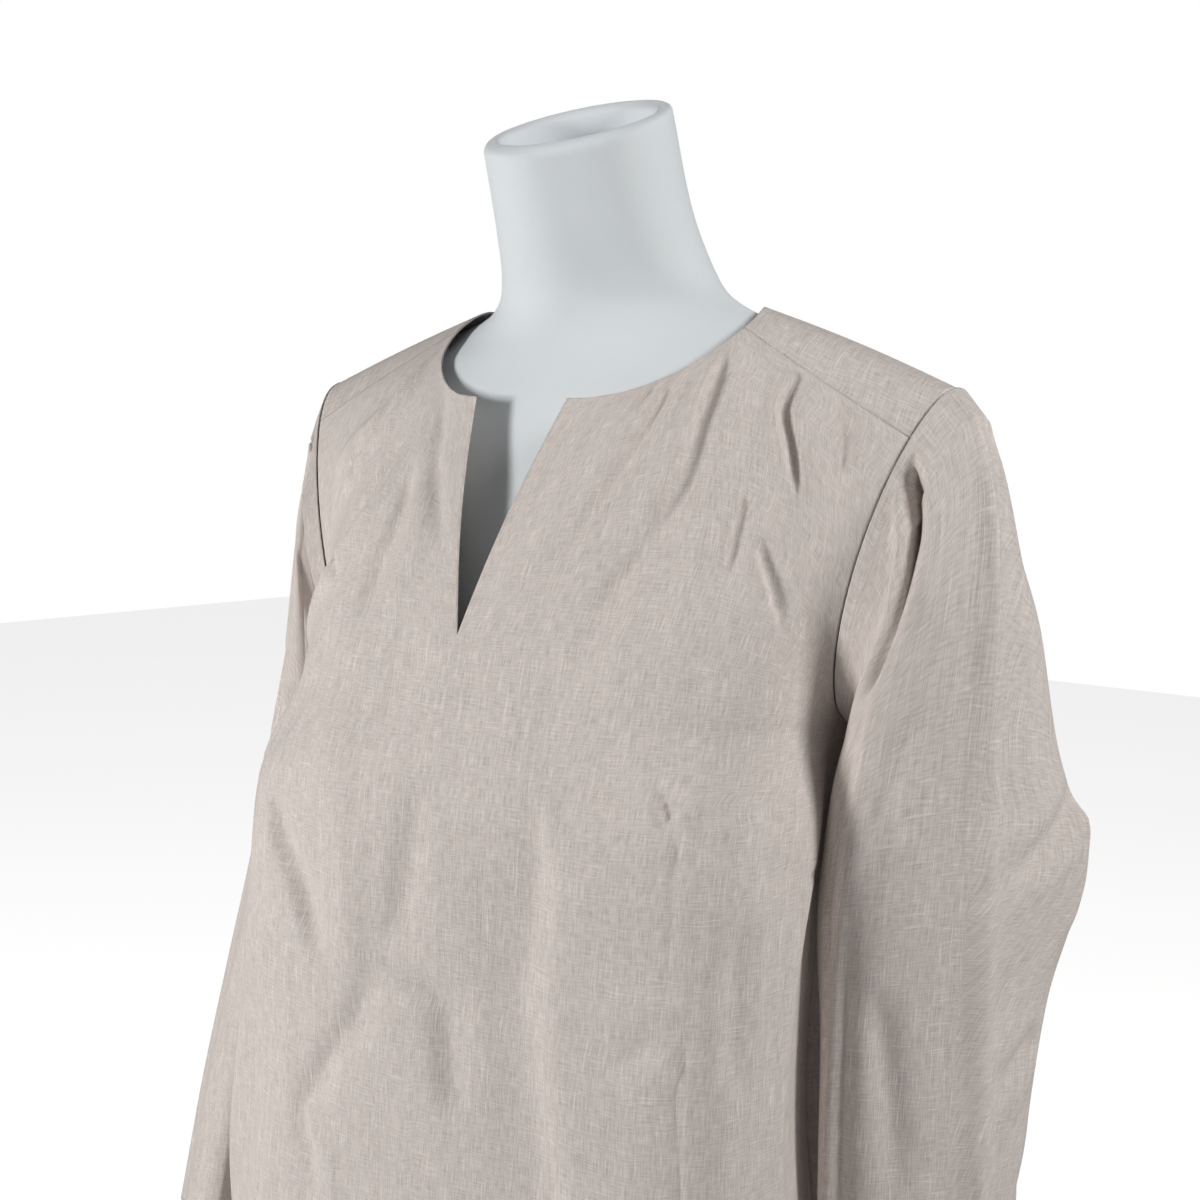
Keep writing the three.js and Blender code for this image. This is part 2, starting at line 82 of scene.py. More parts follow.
place_camera(32.0, 5.9, 2.12, (448, -717, SHOULDER - 76), 45.0)
soft_light("left light", around(88, 32, 2.0), (0, 0, 0.55), 0.5, 0.8, 24, (1.0, 0.995, 0.985))
soft_light("right light", around(-34, 6, 2.0), (0, 0, 0.55), 0.35, 0.5, 26, (1.0, 0.995, 0.985))
bpy.context.scene.view_settings.view_transform = "Standard"

surround = bpy.data.worlds.new("white surround")
surround.use_nodes = True
bpy.context.scene.world = surround
sky = surround.node_tree.nodes["Background"]
sky.inputs["Color"].default_value = (1, 1, 1, 1)
sky.inputs["Strength"].default_value = 0.09
bright = surround.node_tree.nodes.new("ShaderNodeBackground")
bright.inputs["Color"].default_value = (1, 1, 1, 1)
bright.inputs["Strength"].default_value = 1.0
seen = surround.node_tree.nodes.new("ShaderNodeLightPath")
choose = surround.node_tree.nodes.new("ShaderNodeMixShader")
surround.node_tree.links.new(seen.outputs["Is Camera Ray"], choose.inputs[0])
surround.node_tree.links.new(sky.outputs[0], choose.inputs[1])
surround.node_tree.links.new(bright.outputs[0], choose.inputs[2])
surround.node_tree.links.new(
    choose.outputs[0], surround.node_tree.nodes["World Output"].inputs["Surface"])

bpy.ops.object.select_all(action="DESELECT")
bpy.ops.mesh.primitive_plane_add(size=8, location=(0, 0, 0))
floor = bpy.context.object
floor.name = "floor"
floor_paint = bpy.data.materials.new("floor paint")
floor_paint.use_nodes = True
paint = floor_paint.node_tree.nodes["Principled BSDF"]
paint.inputs["Base Color"].default_value = (0.6, 0.6, 0.6, 1)
paint.inputs["Roughness"].default_value = 0.9
paint.inputs["Emission Color"].default_value = (1, 1, 1, 1)
looked_at = floor_paint.node_tree.nodes.new("ShaderNodeLightPath")
glow = floor_paint.node_tree.nodes.new("ShaderNodeMath")
glow.operation = "MULTIPLY"
glow.inputs[1].default_value = 0.8
floor_paint.node_tree.links.new(looked_at.outputs["Is Camera Ray"], glow.inputs[0])
floor_paint.node_tree.links.new(glow.outputs[0], paint.inputs["Emission Strength"])
floor.data.materials.append(floor_paint)


# Dress form: a foam half body with a neck, its fine white jersey cover pulled smooth over it
# and tucked over the rim into the hollow neck. It is one skin of rings, closed underneath.
TORSO_RINGS = [
    dict(down=760, half=142, side=0, front=-92, back=92, lean=1, tip=0),
    dict(down=660, half=156, side=0, front=-104, back=106, lean=0.92, tip=0),
    dict(down=560, half=158, side=0, front=-108, back=106, lean=0.9, tip=0),
    dict(down=470, half=142, side=-4, front=-102, back=90, lean=0.9, tip=0),
    dict(down=395, half=122, side=-6, front=-90, back=76, lean=0.9, tip=0),
    dict(down=320, half=132, side=-8, front=-104, back=84, lean=0.86, tip=0),
    dict(down=255, half=145, side=-8, front=-126, back=94, lean=0.78, tip=0),
    dict(down=208, half=148, side=-6, front=-122, back=98, lean=0.8, tip=0),
    dict(down=150, half=156, side=0, front=-106, back=98, lean=0.86, tip=0),
    dict(down=100, half=172, side=4, front=-86, back=90, lean=1.1, tip=0),
    dict(down=68, half=184, side=8, front=-74, back=80, lean=1.5, tip=0),
    dict(down=50, half=182, side=8, front=-66, back=72, lean=1.9, tip=0),
    dict(down=34, half=164, side=9, front=-60, back=66, lean=2.5, tip=0),
    dict(down=18, half=128, side=10, front=-56, back=59, lean=2.9, tip=1),
    dict(down=3, half=86, side=6, front=-56, back=53, lean=2, tip=3),
    dict(down=-16, half=62, side=-3, front=-59, back=48, lean=1.1, tip=10),
    dict(down=-44, half=53, side=-20, front=-71, back=32, lean=1, tip=17),
    dict(down=-88, half=49.5, side=-39, front=-88, back=11, lean=1, tip=24),
]
FORM_SIDES = 144


def hermite(start, start_slope, end, end_slope, t):
    return (start * (2 * t**3 - 3 * t**2 + 1) + start_slope * (t**3 - 2 * t**2 + t)
            + end * (3 * t**2 - 2 * t**3) + end_slope * (t**3 - t**2))


def read_table(rows, column, at):
    """One row of the table at a value of that column, by a smooth curve through the rows."""
    way = 1 if rows[1][column] > rows[0][column] else -1
    k = 0
    while k < len(rows) - 2 and way * (at - rows[k + 1][column]) > 0:
        k += 1
    before, a, b = rows[max(k - 1, 0)], rows[k], rows[k + 1]
    after = rows[min(k + 2, len(rows) - 1)]
    span = b[column] - a[column]
    t = (at - a[column]) / span
    result = {}
    for name in a:
        start_slope = (b[name] - before[name]) / (b[column] - before[column]) * span
        end_slope = (after[name] - a[name]) / (after[column] - a[column]) * span
        result[name] = hermite(a[name], start_slope, b[name], end_slope, t)
    return result


def form_ring(row, inset=0.0, lower=0.0):
    a = np.arange(FORM_SIDES) / FORM_SIDES * 2 * np.pi
    s = np.sin(a)
    reach = np.where(s > 0, row["back"] - row["side"] - inset, row["side"] - row["front"] - inset)
    along = np.sign(s) * reach * np.abs(s) ** row["lean"]
    z = SHOULDER - row["down"] - lower + along * math.tan(math.radians(row["tip"]))
    return np.stack([np.cos(a) * (row["half"] - inset), row["side"] + along, z], axis=1)


def mesh_object(name, points, quads, closed_tips=()):
    """A smooth mesh from points in millimetres, four-sided faces and the fans of closed_tips."""
    mesh = bpy.data.meshes.new(name)
    faces = [tuple(q) for q in quads] + [tuple(t) for t in closed_tips]
    mesh.from_pydata((np.asarray(points) * MM).tolist(), [], faces)
    mesh.update()
    piece = bpy.data.objects.new(name, mesh)
    bpy.context.scene.collection.objects.link(piece)
    mesh.polygons.foreach_set("use_smooth", [True] * len(mesh.polygons))
    return piece


def ring_quads(rings, sides):
    quads = []
    for r in range(rings - 1):
        for s in range(sides):
            n = (s + 1) % sides
            quads.append((r * sides + s, r * sides + n, (r + 1) * sides + n, (r + 1) * sides + s))
    return quads


form_downs = np.concatenate([np.linspace(760, 110, 50)[:-1], np.linspace(110, -88, 72)])
form_rings = [form_ring(read_table(TORSO_RINGS, "down", d)) for d in form_downs]
rim = TORSO_RINGS[-1]
ROLL = 4.6  # half the thickness of the rolled rim
for step in np.linspace(0, 1, 9)[1:]:
    turn = math.pi * step
    form_rings.append(form_ring(rim, ROLL * (1 - math.cos(turn)), -ROLL * math.sin(turn)))
for sunk in np.linspace(3, 52, 10):
    inner = read_table(TORSO_RINGS, "down", rim["down"] + sunk)
    form_rings.append(form_ring(inner, 2 * ROLL + sunk * 0.05))
form_points = np.concatenate(form_rings)
ring_count = len(form_rings)
form_quads = ring_quads(ring_count, FORM_SIDES)
tips = [form_rings[0].mean(axis=0), form_rings[-1].mean(axis=0)]
form_points = np.concatenate([form_points, tips])
first_tip = ring_count * FORM_SIDES
fans = []
for s in range(FORM_SIDES):
    n = (s + 1) % FORM_SIDES
    fans.append((first_tip, n, s))
    last = (ring_count - 1) * FORM_SIDES
    fans.append((first_tip + 1, last + s, last + n))
dress_form = mesh_object("dress_form", form_points, form_quads, fans)


def new_material(name, tint, roughness):
    material = bpy.data.materials.new(name)
    material.use_nodes = True
    bsdf = material.node_tree.nodes["Principled BSDF"]
    bsdf.inputs["Base Color"].default_value = (*tint, 1)
    bsdf.inputs["Roughness"].default_value = roughness
    return material, material.node_tree, bsdf


def add_node(tree, kind, **values):
    node = tree.nodes.new(kind)
    for name, value in values.items():
        if hasattr(node, name):
            setattr(node, name, value)
        else:
            node.inputs[name.replace("_", " ")].default_value = value
    return node


jersey, tree, bsdf = new_material("white jersey", (0.80, 0.845, 0.87), 0.75)
bsdf.inputs["Sheen Weight"].default_value = 0.12
where = add_node(tree, "ShaderNodeTexCoord")
stretch = add_node(tree, "ShaderNodeMapping")
stretch.inputs["Scale"].default_value = (1100, 1100, 1500)
knit = add_node(tree, "ShaderNodeTexNoise", Scale=1.0, Detail=2.0)
tree.links.new(where.outputs["Object"], stretch.inputs["Vector"])
tree.links.new(stretch.outputs[0], knit.inputs["Vector"])
lift = add_node(tree, "ShaderNodeBump", Strength=0.25, Distance=0.0004)
tree.links.new(knit.outputs["Fac"], lift.inputs["Height"])
tree.links.new(lift.outputs[0], bsdf.inputs["Normal"])
dress_form.data.materials.append(jersey)
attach(dress_form, "root")
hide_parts("form_torso", "form_neck")


# Linen: plain-woven from uneven flax yarn, beige with a pink tint. Thick slubs run along some
# yarns both ways, and the shade varies from yarn to yarn. The pattern follows each piece's cut.
linen, tree, bsdf = new_material("linen", (0.68, 0.62, 0.58), 0.85)
bsdf.inputs["Sheen Weight"].default_value = 0.1
bsdf.inputs["Sheen Roughness"].default_value = 0.5
bsdf.inputs["Specular IOR Level"].default_value = 0.25
cut = add_node(tree, "ShaderNodeUVMap", uv_map="cut")


def yarns(scale_across, scale_along, detail):
    """Streaks of noise, fine across the yarns and long along them."""
    mapping = add_node(tree, "ShaderNodeMapping")
    mapping.inputs["Scale"].default_value = (scale_across, scale_along, 1)
    noise = add_node(tree, "ShaderNodeTexNoise", Scale=1.0, Detail=detail, Roughness=0.6)
    tree.links.new(cut.outputs[0], mapping.inputs["Vector"])
    tree.links.new(mapping.outputs[0], noise.inputs["Vector"])
    return noise.outputs["Fac"]


def combine(kind, *values):
    node = add_node(tree, "ShaderNodeMath", operation=kind)
    for socket, value in zip(node.inputs, values):
        if isinstance(value, (int, float)):
            socket.default_value = value
        else:
            tree.links.new(value, socket)
    return node.outputs[0]


def swing(noise, amount):
    """Noise about 0, times an amount."""
    return combine("MULTIPLY", combine("SUBTRACT", noise, 0.5), amount)


def thick(noise, start):
    """The few yarns that are thicker than start, from 0 to 1."""
    return combine("MINIMUM", combine("MAXIMUM", combine(
        "MULTIPLY", combine("SUBTRACT", noise, start), 12.0), 0.0), 1.0)


warp = yarns(1500, 110, 2.0)
weft = yarns(120, 1500, 2.0)
slub_down = thick(yarns(700, 40, 0.0), 0.66)
slub_across = thick(yarns(50, 800, 0.0), 0.69)
streaks = yarns(240, 9, 2.0)
patches = yarns(26, 14, 3.0)
weave = combine("ADD", swing(warp, 0.75), swing(weft, 0.6))
slubs = combine("MAXIMUM", slub_down, slub_across)
shade = combine("ADD", weave, swing(patches, 0.16))
shade = combine("ADD", shade, swing(streaks, 0.22))
shade = combine("ADD", combine("MULTIPLY_ADD", slubs, 0.12, shade), 1.0)
tone = add_node(tree, "ShaderNodeVectorMath", operation="SCALE")
tone.inputs[0].default_value = (0.68, 0.615, 0.575)
tree.links.new(shade, tone.inputs["Scale"])
tree.links.new(tone.outputs[0], bsdf.inputs["Base Color"])
height = combine("MULTIPLY_ADD", slubs, 0.5, weave)
relief = add_node(tree, "ShaderNodeBump", Strength=0.6, Distance=0.0003)
tree.links.new(height, relief.inputs["Height"])
tree.links.new(relief.outputs[0], bsdf.inputs["Normal"])


# Seam lines of the blouse: the neckline oval with its slit, and the armhole loops.
# Every piece starts from them. Sizes are in millimetres, down is below the shoulder point.
NECK = dict(half=93, middle=-8, front=80, back=68, ridge=-15.4, notch=72, seam=7,
            front_drop=53, back_drop=12)
SLIT_TIP = (0, -132, 172)
ARMHOLE = dict(tip=(198, 9, 42), under=(158, -8, 208), front_half=45, back_half=54,
               squareness=0.85, hollow=6, front_seam=46, back_seam=78)
YOKE_BACK = (106, 98)  # y and down of the back yoke seam at the centre
ARMPIT = 208.0
HEM = 665.0
SEAM_GAP = 0.3
CLOTH = 0.9  # thickness of the linen
BODY_LEVELS = [
    dict(down=150, half=162, side=-6, front=-122, back=112,
         box_front=0.66, box_back=0.66, flare_front=0, flare_back=0),
    dict(down=208, half=158, side=-8, front=-140, back=114,
         box_front=0.72, box_back=0.66, flare_front=0, flare_back=0),
    dict(down=255, half=156, side=-14, front=-152, back=112,
         box_front=0.84, box_back=0.66, flare_front=20, flare_back=14),
    dict(down=320, half=151, side=-20, front=-156, back=108,
         box_front=0.88, box_back=0.68, flare_front=32, flare_back=26),
    dict(down=400, half=149, side=-20, front=-158, back=106,
         box_front=0.9, box_back=0.7, flare_front=42, flare_back=34),
    dict(down=480, half=155, side=-14, front=-161, back=112,
         box_front=0.9, box_back=0.72, flare_front=46, flare_back=36),
    dict(down=570, half=164, side=-8, front=-161, back=120,
         box_front=0.84, box_back=0.72, flare_front=38, flare_back=32),
    dict(down=665, half=176, side=-4, front=-166, back=126,
         box_front=0.82, box_back=0.72, flare_front=36, flare_back=28),
]


def spot(x, y, down):
    return np.array([x, y, SHOULDER - down], dtype=float)


def neckline_at(angle):
    a = math.radians(angle)
    reach = NECK["front"] if a > 0 else NECK["back"]
    to_front = (angle - NECK["ridge"]) / (NECK["notch"] - NECK["ridge"])
    to_back = (NECK["ridge"] - angle) / (NECK["ridge"] + 90)
    if to_front > 0:
        fall = NECK["front_drop"] * math.sin(math.pi / 2 * to_front) ** 1.5
    else:
        fall = NECK["back_drop"] * math.sin(math.pi / 2 * to_back) ** 2
    return spot(NECK["half"] * math.cos(a), NECK["middle"] - reach * math.sin(a), fall)


def armhole_at(angle, front):
    a = math.radians(angle)
    along = (1 - math.cos(a)) / 2
    half = ARMHOLE["front_half"] if front > 0 else ARMHOLE["back_half"]
    across = half * abs(math.sin(a)) ** ARMHOLE["squareness"]
    hollow = ARMHOLE["hollow"] * math.sin(a) ** 2 if front > 0 else 0
    tip, under = (np.array(ARMHOLE[k], dtype=float) for k in ("tip", "under"))
    x, y, down = tip + (under - tip) * along
    return spot(x - hollow, y - front * across, down)


def bezier(points, t):
    a, b, c, d = (np.asarray(p, dtype=float) for p in points)
    t = np.asarray(t, dtype=float)[..., None]
    return a * (1 - t)**3 + 3 * b * t * (1 - t)**2 + 3 * c * t**2 * (1 - t) + d * t**3


def half_section(down, u, front):
    row = read_table(BODY_LEVELS, "down", down)
    y = row["front"] if front > 0 else row["back"]
    box = row["box_front"] if front > 0 else row["box_back"]
    flare = row["flare_front"] if front > 0 else row["flare_back"]
    side = row["side"]
    corners = [spot(0, y, down), spot(row["half"] * box, y, down),
               spot(row["half"] + flare, side + (y - side) * box, down),
               spot(row["half"], side, down)]
    return bezier(corners, u)


# Front and back panels: the front hangs from the yoke seams over the bust and falls straight
# to a plain hem, the back from the yoke seam behind. Each is a sheet of rows and columns.
COLUMNS = 100  # on each half
UPPER = 100  # rows above the underarm
LOWER = 90  # rows below it
TIP_ROW = 20  # row of the upper part at the slit's lower end
TURN = 0.5  # place along the top edge where the neckline meets the yoke seam
SIDE_PLACE = 230  # place of the side seam in the tables of folds
HELD_COLUMNS = 8  # columns at the side over which the folds die away
HELD_ROWS = 5  # rows at the top over which they do


def front_top(u):
    if u < TURN:
        return neckline_at(NECK["notch"] + (NECK["seam"] - NECK["notch"]) * u / TURN)
    t = (u - TURN) / (1 - TURN)
    start, end = neckline_at(NECK["seam"]), armhole_at(ARMHOLE["front_seam"], 1)
    return start + (end - start) * t - np.array([0, 3 * math.sin(math.pi * t), 0])


def front_top_smooth(u):
    ends = neckline_at(NECK["notch"]), armhole_at(ARMHOLE["front_seam"], 1)
    return bezier([ends[0], spot(75, -25, 8), spot(125, -10, 10), ends[1]], u)


def back_top(u):
    end = armhole_at(ARMHOLE["back_seam"], -1)
    centre = spot(0, *YOKE_BACK)
    near = np.array([end[0] * 0.55, centre[1], centre[2]])
    far = np.array([end[0] * 0.85, end[1] * 0.4 + centre[1] * 0.6, end[2] * 0.7 + centre[2] * 0.3])
    return bezier([centre, near, far, end], u)


def centre_front(v):
    low = half_section(ARMPIT, np.array([0.0]), 1)[0]
    tip = spot(*SLIT_TIP)
    tip_v = TIP_ROW / UPPER
    if v <= tip_v:
        return low + (tip - low) * v / tip_v
    t = (v - tip_v) / (1 - tip_v)
    p = tip + (neckline_at(NECK["notch"]) - tip) * t
    p[1] -= 5 * math.sin(math.pi * t)
    return p


def upper_rows(u, front):
    """The panel above the underarm, rows going up, on the wearer's left half."""
    rise = 150.0
    low = half_section(ARMPIT, u, front)
    lean = (half_section(ARMPIT - 10, u, front) - low) * rise / 10
    if front > 0:
        high = front_top_smooth(u)
        corner = np.array([front_top(x) for x in u]) - high
        seam_angle = ARMHOLE["front_seam"]
    else:
        high = back_top(u)
        corner = np.zeros_like(high)
        seam_angle = ARMHOLE["back_seam"]
    arrive = np.array([0, front * 0.95 * rise, 0.5 * rise])
    rows = []
    for v in np.linspace(0, 1, UPPER + 1):
        row = hermite(low, lean, high, arrive, v)
        side_step = armhole_at(180 + (seam_angle - 180) * v, front) - row[-1]
        centre_step = centre_front(v) - row[0] if front > 0 else np.zeros(3)
        row = row + side_step * (u ** 2.5)[:, None]
        row = row + centre_step * ((1 - u) ** 2.5)[:, None] + corner * v ** 5
        rows.append(row)
    return rows


def panel_grid(front):
    u = np.linspace(0, 1, COLUMNS + 1)
    rows = [half_section(d, u, front) for d in np.linspace(HEM, ARMPIT, LOWER + 1)[:-1]]
    grid = np.array(rows + upper_rows(u, front))
    grid[:, -1] += unit(grid[:, -2] - grid[:, -1]) * SEAM_GAP / 2
    grid[-1] += unit(grid[-2] - grid[-1]) * SEAM_GAP / 2
    return grid


def unit(v):
    return v / np.linalg.norm(v, axis=-1, keepdims=True)


def grid_normals(grid):
    """Normals of a grid, from its rows and columns."""
    down_way = np.gradient(grid, axis=0)
    cross_way = np.gradient(grid, axis=1)
    return unit(np.cross(cross_way, down_way))


def cut_coordinates(grid):
    """Each point's place on the flat cut, in metres: along its row and up its middle column."""
    across = np.linalg.norm(np.diff(grid, axis=1), axis=2).cumsum(axis=1)
    across = np.concatenate([np.zeros((len(grid), 1)), across], axis=1)
    middle = grid.shape[1] // 2
    along = np.linalg.norm(np.diff(grid[:, middle], axis=0), axis=1).cumsum()
    along = np.concatenate([[0], along])
    return np.stack([across, np.repeat(along[:, None], grid.shape[1], axis=1)], axis=2) * MM


def smooth_route(points, steps=8):
    """More points on a smooth curve through a fold's few points."""
    p = np.array(points, dtype=float)
    p = np.concatenate([[2 * p[0] - p[1]], p, [2 * p[-1] - p[-2]]])
    route = []
    for a, b, c, d in zip(p, p[1:], p[2:], p[3:]):
        for t in np.arange(steps) / steps:
            route.append(hermite(b, (c - a) / 2, c, (d - b) / 2, t))
    return np.array(route + [p[-2]])


def folds_on(places, folds):
    """How far each place moves out for a table of folds. A fold follows its route, out mm high
    or deep, and dies away at its ends. Its width may be a pair, for the two sides of the route,
    the lower and the higher numbers across it first, and end is its width where it ends. A lip
    raises the cloth beside a trough, or lowers it beside a ridge."""
    out = np.zeros(places.shape[:-1])
    for fold in folds:
        route = smooth_route(fold["route"])
        steps = np.linalg.norm(np.diff(route, axis=0), axis=1)
        start = np.concatenate([[0], steps.cumsum()]) / steps.sum()
        best = np.full(out.shape, 1e9)
        side = np.zeros(out.shape)
        along = np.zeros(out.shape)
        for k, step in enumerate(steps):
            way = (route[k + 1] - route[k]) / step
            from_start = places - route[k]
            t = from_start @ way
            low = -1e9 if k == 0 else 0
            high = 1e9 if k == len(steps) - 1 else step
            held = np.clip(t, low, high)
            off = from_start - held[..., None] * way
            distance = np.linalg.norm(off, axis=-1)
            nearer = distance < best
            best = np.where(nearer, distance, best)
            across = off @ np.array([way[1], -way[0]])
            side = np.where(nearer, np.sign(across), side)
            along = np.where(nearer, start[k] + held / steps.sum(), along)
        first = np.broadcast_to(fold["width"], 2)
        last = np.broadcast_to(fold.get("end", fold["width"]), 2)
        inside = np.clip(along, 0, 1)[..., None]
        widths = first + (last - first) * inside
        s = side * best / np.where(side < 0, widths[..., 0], widths[..., 1])
        profile = np.exp(-s * s)
        if "lip" in fold:
            profile -= fold["lip"] * np.exp(-(np.abs(s) - 1.9) ** 2)
        fade_in, fade_out = fold.get("fade", (0.25, 0.35))
        begin = np.clip((along + 0.02) / fade_in, 0, 1)
        end = np.clip((1.02 - along) / fade_out, 0, 1)
        ends = begin * end
        out += fold["out"] * profile * ends * ends * (3 - 2 * ends)
    return out


def cloth_object(name, points, quads, corner_places):
    """A thin shell of linen whose outer face is the sheet, with its cut stored for each corner."""
    piece = mesh_object(name, points, quads)
    layer = piece.data.uv_layers.new(name="cut")
    layer.data.foreach_set("uv", np.array(corner_places, dtype=np.float32).ravel())
    piece.data.materials.append(linen)
    bpy.context.view_layer.objects.active = piece
    wall = piece.modifiers.new("cloth", "SOLIDIFY")
    wall.thickness = CLOTH * MM
    wall.offset = -1
    bpy.ops.object.modifier_apply(modifier=wall.name)
    return piece


def panel_object(name, front, folds):
    """Both halves of a panel with its folds, joined down the centre except beside the slit."""
    half = panel_grid(front)
    rows, columns = half.shape[:2]
    points, coordinates, quads = [], [], []
    index = {}
    for side in (1, -1):
        grid = half * np.array([side, 1, 1])
        normals = grid_normals(grid) * side * front
        u = np.linspace(0, 1, columns) * side
        across = np.repeat(u[None] * SIDE_PLACE, rows, axis=0)
        moved = folds_on(np.stack([across, SHOULDER - grid[..., 2]], axis=2), folds)
        edge = np.ones(columns)
        edge[-HELD_COLUMNS:] = np.linspace(1, 0, HELD_COLUMNS)
        top = np.ones(rows)
        top[-HELD_ROWS:] = np.linspace(1, 0, HELD_ROWS)
        moved = moved * edge[None] * top[:, None]
        grid = grid + normals * moved[..., None]
        flat = cut_coordinates(grid)
        flat[..., 0] *= side
        first = len(points)
        points.extend(grid.reshape(-1, 3))
        coordinates.extend(flat.reshape(-1, 2))
        for r in range(rows):
            shared = front < 0 or r <= LOWER + TIP_ROW
            for c in range(columns):
                here = first + r * columns + c
                index[side, r, c] = index[1, r, c] if side < 0 and c == 0 and shared else here
        for r in range(rows - 1):
            for c in range(columns - 1):
                quad = [index[side, r, c], index[side, r, c + 1],
                        index[side, r + 1, c + 1], index[side, r + 1, c]]
                quads.append(quad if side * front > 0 else quad[::-1])
    used = sorted({i for quad in quads for i in quad})
    renumber = {old: new for new, old in enumerate(used)}
    points = np.array(points)[used]
    coordinates = np.array(coordinates)[used]
    quads = [[renumber[i] for i in quad] for quad in quads]
    return cloth_object(name, points, quads, coordinates[np.array(quads)])


